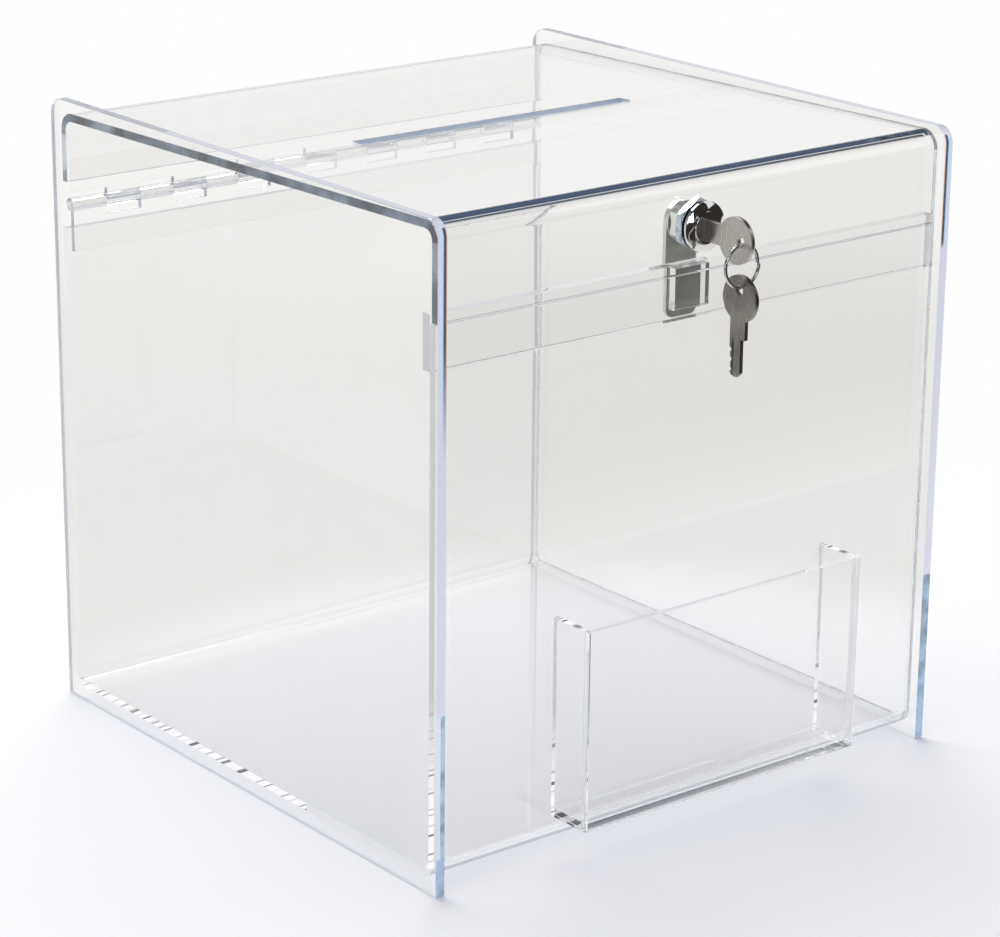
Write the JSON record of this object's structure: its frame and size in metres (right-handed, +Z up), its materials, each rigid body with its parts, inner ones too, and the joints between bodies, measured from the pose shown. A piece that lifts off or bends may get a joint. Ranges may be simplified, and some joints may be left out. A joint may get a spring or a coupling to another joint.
{
  "type": "ballot box",
  "caption": "Clear acrylic ballot box with a slotted hinged lid, keyed cam lock with keys on a ring, and a leaflet pocket on the front.",
  "frame": {"origin": "centre of the whole object's box on the ground, between the two side panels' lower edges; the depth includes the spare key that hangs in front", "axes": "+Z up, -Y towards the front with the lock and the pocket, +X to the right when seen from the front"},
  "size_m": [0.3, 0.3338, 0.304],
  "materials": {
    "clear_acrylic": "clear polished acrylic sheet",
    "lock_chrome": "polished chrome plate",
    "nut_zinc": "bright blue zinc plate",
    "cam_steel": "dull zinc plated steel with a grey olive tone",
    "screw_zinc": "zinc plate",
    "wafer_brass": "plain brass plate",
    "spring_steel": "spring wire",
    "key_nickel": "nickel plate, satin",
    "ring_nickel": "bright nickel plate"
  },
  "bodies": {
    "box": {"left_side_panel": "clear_acrylic", "right_side_panel": "clear_acrylic", "body_sheet": "clear_acrylic", "front_stop_strip": "clear_acrylic", "keeper_block": "clear_acrylic", "hinge_body_leaf": "clear_acrylic", "hinge_pin": "clear_acrylic", "pocket_front": "clear_acrylic", "pocket_left_side": "clear_acrylic", "pocket_right_side": "clear_acrylic", "pocket_floor": "clear_acrylic"},
    "lid": {"lid_sheet": "clear_acrylic", "hinge_lid_leaf": "clear_acrylic", "lock_housing": "lock_chrome", "lock_nut": "nut_zinc"},
    "lock_core": {"lock_plug": "lock_chrome", "lock_wafers": "wafer_brass", "wafer_springs": "spring_steel", "stop_washer": "cam_steel", "cam": "cam_steel", "cam_washer": "cam_steel", "cam_screw": "screw_zinc"},
    "key": {"key": "key_nickel"},
    "key_ring": {"key_ring": "ring_nickel"},
    "spare_key": {"spare_key": "key_nickel"}
  },
  "joints": [
    {"name": "lid_hinge", "type": "hinge", "parent": "box", "child": "lid", "pos_m": [0, 0.15912, 0.252], "axis": [-1, 0, 0], "range_deg": [0, 140]},
    {"name": "lock_turn", "type": "hinge", "parent": "lid", "child": "lock_core", "pos_m": [0, -0.13087, 0.2785], "axis": [0, 1, 0], "range_deg": [0, 90]},
    {"name": "key_slide", "type": "slide", "parent": "lock_core", "child": "key", "axis": [0, -1, 0], "range_m": [0, 0.025]},
    {"name": "ring_swing", "type": "hinge", "parent": "key", "child": "key_ring", "pos_m": [0, -0.15627, 0.27545], "axis": [-1, 0, 0], "range_deg": [-10, 80]},
    {"name": "spare_key_swing", "type": "hinge", "parent": "key_ring", "child": "spare_key", "pos_m": [0, -0.15627, 0.25635], "axis": [-1, 0, 0], "range_deg": [-12, 60]}
  ]
}
